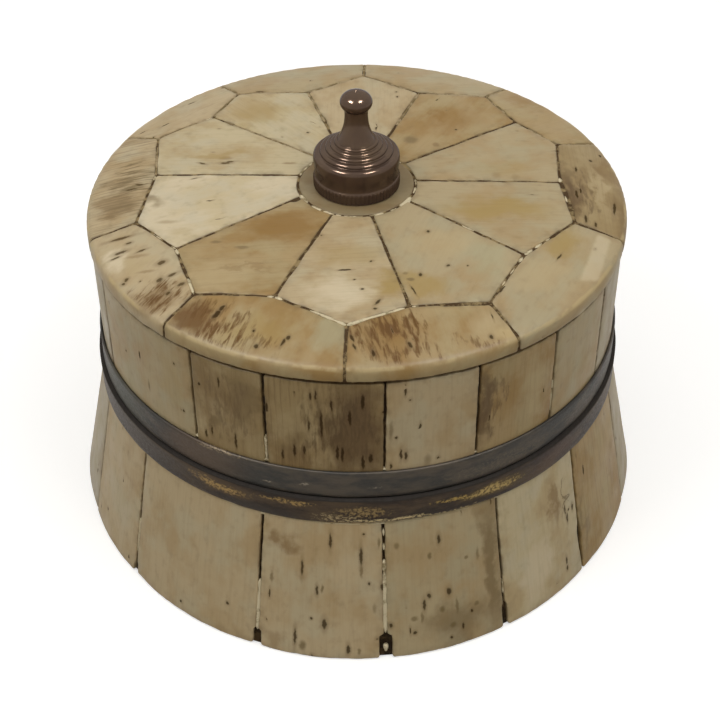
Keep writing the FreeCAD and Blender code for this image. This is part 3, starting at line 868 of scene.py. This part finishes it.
staveFillers = {
    # stave whose right seam it fills, from and to height, width in mm
    "beads": [("base_stave_02", 3.8, 16.2, 0.75), ("base_stave_03", 6.2, 23.6, 0.9),
              ("base_stave_03", 26.2, 27.4, 0.7), ("base_stave_03", 1.6, 3.2, 1.2),
              ("base_stave_03", 29.5, 31, 0.5), ("base_stave_04", 8.5, 12, 0.35),
              ("base_stave_01", 6.0, 15, 0.4), ("lid_stave_02", 46.5, 53, 0.6),
              ("lid_stave_05", 48, 56, 0.3)],
    "middle": 0.2,
}
for k, (node, low, high, width) in enumerate(staveFillers["beads"]):
    front, half = seamsOf[node]
    path = [Vector((half + staveFillers["middle"], z)) for z in (low, high)]
    bead = fillerStrip("filler_side_%02d" % (k + 1), path, front, width, k + 70)
    settle(bead, "lid" if high > baseHead else "base", "polished_bone")


# Brass strip, wrapped cold and blackened with age: dull and dark, rubbed back to flecks of gold on the high
# spots, with painted shade, dark as soot, in the joint between the two strips
def blackenedBrass(name, look, sootLine):
    material, add = newMaterial(name)
    place = add("Attribute", out="Vector", attribute_name="placeMm")
    lay = add("Mapping", {"Vector": place, "Scale": (1 / 13, 1 / 4, 1)})
    tarnish = add("TexNoise", {"Vector": lay, "Scale": 1.0, "Detail": 5.0, "Roughness": 0.65}, **plane)
    lay = add("Mapping", {"Vector": place, "Scale": (1 / 0.75, 1 / 0.6, 1)})
    scuff = add("TexNoise", {"Vector": lay, "Scale": 1.0, "Detail": 4.0, "Roughness": 0.65}, **plane)
    off = add("VectorMath", {0: tarnish.node.outputs["Color"], 1: (0.5, 0.5, 0.5)}, operation="SUBTRACT")
    bent = add("VectorMath", {0: off, 1: (9, 3, 0), 2: place}, operation="MULTIPLY_ADD")
    mask = add("MapRange", {"Value": tarnish, "From Min": 0.36, "From Max": 0.64}, **soft)
    colour = add("Mix", {0: mask, 6: hexColour(look["dark"]), 7: hexColour(look["mid"])}, **rgb)
    # tints lie flat, flecks break up; both are angle, height, half sizes in mm, colour, strength
    for kind in ("tints", "flecks"):
        for angle, z, length, tall, tint, strength in look[kind]:
            near = markReach(add, bent, math.radians(angle) * bandRadius, z, length, tall)
            mask = {"Value": near, "From Min": 1.2, "From Max": 0.3, "To Max": strength}
            mask = add("MapRange", mask, **soft)
            if kind == "flecks":
                crowd = add("Math", {0: mask, 1: 0.2, 2: scuff}, operation="MULTIPLY_ADD")
                crowd = add("MapRange", {"Value": crowd, "From Min": 0.56, "From Max": 0.76}, **soft)
                mask = add("Math", {0: crowd, 1: mask}, operation="MULTIPLY")
            colour = add("Mix", {0: mask, 6: colour, 7: hexColour(tint)}, **rgb)
    height = add("SeparateXYZ", {0: place}, "Y")
    # painted shade: the top of the base band, in the joint under the lid, is darkened nearly to black, made
    # rougher and not metallic
    soot = add("MapRange", {"Value": height, "From Min": sootLine - 0.5, "From Max": sootLine - 0.1}, **soft)
    colour = add("Mix", {0: soot, 6: colour, 7: hexColour("#29231D")}, **rgb)
    rough = {"Value": scuff, "From Min": 0.3, "From Max": 0.7, "To Min": 0.42, "To Max": 0.62}
    rough = add("Math", {0: soot, 1: 0.4, 2: add("MapRange", rough)}, operation="MULTIPLY_ADD")
    metal = add("MapRange", {"Value": soot, "To Min": 0.25, "To Max": 0.0})
    bump = add("Bump", {"Strength": 0.5, "Distance": 0.1 * mm, "Height": scuff})
    shader = add("BsdfPrincipled", {"Base Color": colour, "Metallic": metal, "Roughness": rough,
                                    "Normal": bump, "Specular IOR Level": 0.15})
    add("OutputMaterial", {"Surface": shader})
    return material


bandRadius = 58.2
bands = {
    "lid_band": {
        "body": "lid", "dark": "#363430", "mid": "#4E463C", "ragged": 0.0, "lap": 400, "turnedIn": False,
        "tints": [(-35, 43, 13, 5, "#544436", 0.7), (-60, 43, 12, 5, "#46463C", 0.7)],
        "flecks": [(-18, 41.5, 2, 0.5, "#847A6A", 1.0), (-10, 42.5, 1.6, 0.5, "#847A6A", 0.9),
            (3.5, 42, 1.8, 0.4, "#847A6A", 0.8), (-28, 45.5, 8, 0.8, "#887860", 0.8),
            (30, 42, 20, 3, "#645A4C", 0.6)]},
    "base_band": {
        "body": "base", "dark": "#281F18", "mid": "#463828", "ragged": 0.34, "lap": 5.0, "turnedIn": True,
        "tints": [(-55, 36, 22, 4, "#403830", 0.8), (-20, 34, 12, 1.2, "#322C26", 0.8),
            (-29, 36.5, 8, 2, "#58442C", 0.7), (28, 36, 9, 2, "#564424", 0.8),
            (45, 36, 9, 3, "#4E3A2C", 0.6)],
        "flecks": [(-29, 36.5, 9, 1.8, "#9A7E4C", 1.0), (-14, 37.5, 8, 0.8, "#9A7E4C", 0.9),
            (1, 36, 7, 2, "#90784C", 0.8), (28, 36, 9, 1.5, "#A89058", 1.0),
            (19, 36.5, 6, 0.8, "#A88C4C", 0.9), (6, 33.5, 14, 0.7, "#BCA87C", 0.9),
            (18, 33.5, 8, 0.6, "#BCA87C", 0.8), (-4, 34.5, 6, 1.2, "#A8946C", 0.7)]},
}


def hammered(look, low, high, inner, seed, turn, r, z):
    # not quite round, with a ragged lower edge and a lap
    if r < inner + 0.01:
        return r, z
    x, y = 58 * math.sin(turn), 58 * math.cos(turn)
    if z < low + 0.5:
        gap = (math.degrees(turn) - 10) / 20
        tear = max(0.0, 1 - gap * gap) * (1 + 1.6 * wave(x, y, 0.8, seed + 5))
        z += 0.14 * (1 + wave(x, y, 5.0, seed)) + look["ragged"] * tear
    if z > high - 0.5 and not look["turnedIn"]:
        z -= 0.12 * (1 + wave(x, y, 6.0, seed + 2))
    past = math.degrees(turn) - look["lap"]
    r += 0.06 * wave(x, y + z * 2, 5.0, seed) + (0.18 * (1 - past / 8) if 0 < past < 8 else 0.0)
    return r, z


for seed, (node, look) in enumerate(bands.items()):
    low, high = levels(node)
    outer = reachOf(node)
    inner = min(math.hypot(p.x, p.y) for p in nodePoints(node))
    over, sootLine, lip = inner, crown, []
    if look["turnedIn"]:
        # turned in a little over the tops of the staves
        high = sootLine = lidFoot - 0.15
        over = lidRadius - 0.3
        lip = [(over, baseHead + 0.12), (inner, baseHead + 0.1)]
    rows = [low + 0.15 + (high - low - 0.3) * k / 8 for k in range(9)]
    loop = [(inner, low), (outer - 0.12, low)] + [(outer, z) for z in rows]
    loop += [(outer - 0.12, high), (over, high)] + lip
    brass = blackenedBrass("brass_strip_blackened_" + node, look, sootLine)
    piece = latheRing(node + "_strip", loop, brass, 480, partial(hammered, look, low, high, inner, seed))
    settle(piece, look["body"], "dark_band", node)
print("bands wrapped")

residue = {
    # body, from and to angle, height and width in mm: filler squeezed out along the bands
    "beads": [("lid", -52, -36, 46.3, 0.35), ("lid", -36, -15, 46.45, 0.7), ("lid", -15, 8, 46.3, 0.45),
              ("lid", 9, 30, 46.25, 0.3), ("base", -62, -24, 32.55, 0.25), ("base", -23, 6, 32.5, 0.5),
              ("base", 7, 32, 32.5, 0.4)],
}
for k, (body, start, end, z, width) in enumerate(residue["beads"]):
    run = []
    for j in range(31):
        turn = math.radians(start + (end - start) * j / 30)
        run.append(Vector((turn * lidRadius, z + 0.15 * wave(j, k, 4.0, k))))
    side = partial(onStave, 0.0, body == "base", k)
    settle(fillerStrip("filler_band_%d" % (k + 1), run, side, width, k + 90), body, "polished_bone")


# turned knob: milled foot ring, waist, drum, beads climbing to a slim stem with a flattened ball
finialLook = {
    "seat": 0.4,  # mm over the crown, on the dome of the lid
    "footRing": 9.2, "waist": 8.8, "drum": 9.14, "drumTop": 7.95, "stem": 2.44, "ball": 3.4,
    # middle and half sizes of each bead on the drum
    "beads": [(7.1, 8.2, 0.6, 0.58), (6.0, 9.05, 0.52, 0.49), (5.05, 9.75, 0.45, 0.37),
              (4.15, 10.4, 0.48, 0.44)],
    "stemRows": (11.0, 11.7, 12.4, 13.2, 14.2, 15.2, 16.4),
    "notches": 64, "notchDepth": 0.22, "milledReach": 8.9, "milledBand": (0.25, 2.5),
}


def arc(r, z, wide, tall, start, end, count=6):
    # part of an ellipse about r, z, from straight out at 0 to straight up at 90 degrees
    turns = [math.radians(start + (end - start) * k / count) for k in range(count + 1)]
    return [(r + wide * math.cos(t), z + tall * math.sin(t)) for t in turns]


def finialProfile(look):
    ring, waist, drum, top = look["footRing"], look["waist"], look["drum"], look["drumTop"]
    line = [(0.3, 0.0)] + arc(ring - 0.5, 0.5, 0.5, 0.5, -90, 0) + arc(ring - 0.3, 2.1, 0.3, 0.5, 0, 60)
    swell = [2.8 + 0.5 * k for k in range(8)]
    line += [((waist + drum) / 2 - (drum - waist) / 2 * math.cos(math.pi * (z - 3.3) / 3), z) for z in swell]
    line += arc(drum - 0.8, top - 1.15, 0.8, 1.15, 0, 90)
    for r, z, wide, tall in look["beads"]:
        line += arc(r, z, wide, tall, -30, 115)
    line += [(look["stem"] + 1.5 * ((16.4 - z) / 5.5) ** 2, z) for z in look["stemRows"]]
    line.append((look["stem"], 17.2))
    return line + arc(0.0, 19.6, look["ball"], 2.43, -42, 85, 12)


finialFoot = crown + finialLook["seat"]


def milled(turn, r, z):
    low, high = finialLook["milledBand"]
    if r > finialLook["milledReach"] and low < z - finialFoot < high:
        r -= finialLook["notchDepth"] * (0.5 + 0.5 * math.cos(finialLook["notches"] * turn))
    return r, z


# Brass, turned and darkened, then polished: brown-black with small sharp lights
finialMetal, add = newMaterial("brass_turned_dark_polished")
spot = add("TexCoord", out="Object")
cloud = add("TexNoise", {"Vector": spot, "Scale": 1 / (5 * mm), "Detail": 4.0})
fine = add("TexNoise", {"Vector": spot, "Scale": 1 / (0.6 * mm), "Detail": 3.0})
shade = add("MapRange", {"Value": cloud, "From Min": 0.35, "From Max": 0.65})
tone = add("Mix", {0: shade, 6: hexColour("#54443A"), 7: hexColour("#5E4D3E")}, **rgb)
sheen = add("MapRange", {"Value": fine, "From Min": 0.3, "From Max": 0.7, "To Min": 0.14, "To Max": 0.2})
shader = add("BsdfPrincipled", {"Base Color": tone, "Metallic": 0.45, "Roughness": sheen,
                                "Specular Tint": hexColour("#8C7E70")})
add("OutputMaterial", {"Surface": shader})
line = softened([Vector((r, finialFoot + z)) for r, z in finialProfile(finialLook)], 1)
knob = latheRing("finial_turned", [(p.x, p.y) for p in line], finialMetal, 384, milled)
settle(knob, "lid", "dark_brass", "finial")
print("finial turned")


# Pale hardwood, turned and oiled: long soft figure and short dark pores
wood, add = newMaterial("hardwood_turned_oiled")
place = add("TexCoord", out="Object")
lay = add("Mapping", {"Vector": place, "Scale": (1 / (40 * mm), 1 / (4 * mm), 1 / (9 * mm))})
figure = add("TexNoise", {"Vector": lay, "Scale": 1.0, "Detail": 4.0, "Distortion": 0.6})
lay = add("Mapping", {"Vector": place, "Scale": (1 / (7 * mm), 1 / (0.5 * mm), 1 / (0.8 * mm))})
pores = add("TexNoise", {"Vector": lay, "Scale": 1.0, "Detail": 3.0})
mask = add("MapRange", {"Value": figure, "From Min": 0.3, "From Max": 0.7})
colour = add("Mix", {0: mask, 6: hexColour("#9C7347"), 7: hexColour("#7A5230")}, **rgb)
mask = add("MapRange", {"Value": pores, "From Min": 0.58, "From Max": 0.72, "To Max": 0.6})
colour = add("Mix", {0: mask, 6: colour, 7: hexColour("#4A301B")}, **rgb)
bump = add("Bump", {"Strength": 0.3, "Distance": 0.1 * mm, "Height": pores})
rough = add("MapRange", {"Value": figure, "To Min": 0.46, "To Max": 0.64})
shader = add("BsdfPrincipled", {"Base Color": colour, "Roughness": rough, "Normal": bump, "IOR": 1.5})
add("OutputMaterial", {"Surface": shader})

# Steel, cut on a lathe: bright with fine turning lines, a little dulled
screwSteel, add = newMaterial("steel_screw_cut")
spot = add("TexCoord", out="Object")
lay = add("Mapping", {"Vector": spot, "Scale": (1 / (2 * mm), 1 / (0.3 * mm), 1 / (2 * mm))})
lines = add("TexNoise", {"Vector": lay, "Scale": 1.0, "Detail": 3.0})
tone = add("Mix", {0: lines, 6: hexColour("#7C7A76"), 7: hexColour("#A9A7A2")}, **rgb)
rough = add("MapRange", {"Value": lines, "To Min": 0.25, "To Max": 0.5})
shader = add("BsdfPrincipled", {"Base Color": tone, "Metallic": 1.0, "Roughness": rough})
add("OutputMaterial", {"Surface": shader})
for node, finish in (("base_core", wood), ("lid_core", wood), ("finial_screw", screwSteel)):
    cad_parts[node].data.materials.clear()
    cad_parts[node].data.materials.append(finish)
print("wood and screw dressed")


studio = {
    "floorSize": 3.0, "floorDrop": 0.0002, "aim": (0, 0, 0.07),
    "floorColour": "#D9D7D3", "floorBounce": "#A8A49C", "worldGlow": 0.34,
    "floorGlow": (0.46, 0.80), "glowReach": (0.4, 1.2),  # brighter far off, in m, to meet the white horizon
    # three wide soft lamps light the box; two more are only mirrored, as the lights on the knob
    "lamps": [{"place": (0.0, -0.1, 1.0), "size": (1.1, 1.1), "power": 5.2, "mirrored": False},
              {"place": (-0.545, -0.353, 0.86), "size": (0.3, 0.3), "power": 1.6, "mirrored": False},
              {"place": (0.40, -0.36, 0.88), "size": (0.3, 0.3), "power": 1.3, "mirrored": False},
              {"place": (-0.41, -0.29, 0.70), "size": (0.28, 0.18), "power": 11.0, "mirrored": True},
              {"place": (0.32, -0.29, 0.72), "size": (0.24, 0.16), "power": 8.0, "mirrored": True}],
}
half = studio["floorSize"] / 2
floorMesh = bpy.data.meshes.new("studio_floor")
square = ((-half, -half), (half, -half), (half, half), (-half, half))
floorMesh.from_pydata([(x, y, -studio["floorDrop"]) for x, y in square], [], [(0, 1, 2, 3)])
floor = bpy.data.objects.new("studio_floor", floorMesh)
bpy.context.scene.collection.objects.link(floor)
# Paper sweep, matt: a plain pale ground with a faint tooth
paper, add = newMaterial("paper_sweep_matt")
seen = add("LightPath", out="Is Camera Ray")
rays = seen.node.outputs
seen = add("Math", {0: seen, 1: rays["Is Glossy Ray"]}, operation="MAXIMUM")
seen = add("Math", {0: seen, 1: rays["Is Transmission Ray"]}, operation="MAXIMUM")
place = add("TexCoord", out="Object")
tooth = add("TexNoise", {"Vector": place, "Scale": 1 / (1.5 * mm)})
pale = add("Mix", {0: tooth, 6: hexColour(studio["floorColour"]), 7: hexColour("#E0DEDA")}, **rgb)
tone = add("Mix", {0: seen, 6: hexColour(studio["floorBounce"]), 7: pale}, **rgb)
far = add("VectorMath", {0: place}, "Value", operation="LENGTH")
(near, wide), (low, high) = studio["glowReach"], studio["floorGlow"]
far = add("MapRange", {"Value": far, "From Min": near, "From Max": wide, "To Min": low, "To Max": high})
glow = add("Math", {0: seen, 1: far}, operation="MULTIPLY")
matt = add("BsdfDiffuse", {"Color": tone})
light = add("Emission", {"Color": (1, 1, 1, 1), "Strength": glow})
add("OutputMaterial", {"Surface": add("AddShader", {0: matt, 1: light})})
floorMesh.materials.append(paper)

world = bpy.data.worlds.new("studio_white")
world.use_nodes = True
world.node_tree.nodes.clear()
add = partial(addNode, world.node_tree)
seen = add("LightPath", out="Is Camera Ray")
rays = seen.node.outputs
seen = add("Math", {0: seen, 1: rays["Is Transmission Ray"]}, operation="MAXIMUM")
seen = add("Math", {0: seen, 1: rays["Is Glossy Ray"]}, operation="MAXIMUM")
strength = add("MapRange", {"Value": seen, "To Min": studio["worldGlow"], "To Max": 1.0})
add("OutputWorld", {"Surface": add("Background", {"Color": (1, 1, 1, 1), "Strength": strength})})
bpy.context.scene.world = world

for k, lamp in enumerate(studio["lamps"]):
    data = bpy.data.lights.new("softbox_%d" % k, "AREA")
    data.shape = "RECTANGLE"
    data.size, data.size_y = lamp["size"]
    data.energy = lamp["power"]
    softbox = bpy.data.objects.new("softbox_%d" % k, data)
    softbox.location = lamp["place"]
    aim = Vector(studio["aim"]) - Vector(lamp["place"])
    softbox.rotation_euler = aim.to_track_quat("-Z", "Y").to_euler()
    softbox.visible_glossy = lamp["mirrored"]
    softbox.visible_diffuse = not lamp["mirrored"]
    bpy.context.scene.collection.objects.link(softbox)

# mm and degrees
camera = {"stand": (0.517, -272.88, 252.66), "aim": (0.517, 0.0, 27.4), "lens": 75.91, "roll": -0.30}
eye = bpy.data.cameras.new("camera_front_high")
eye.lens = camera["lens"]
eye.sensor_width = 36.0
stand = bpy.data.objects.new("camera_front_high", eye)
aim = (Vector(camera["aim"]) - Vector(camera["stand"])).to_track_quat("-Z", "Y").to_matrix().to_4x4()
roll = Matrix.Rotation(math.radians(camera["roll"]), 4, "Z")
stand.matrix_world = Matrix.Translation(Vector(camera["stand"]) * mm) @ aim @ roll
bpy.context.scene.collection.objects.link(stand)
bpy.context.scene.camera = stand
bpy.context.scene.view_settings.view_transform = "Standard"
print("studio ready")
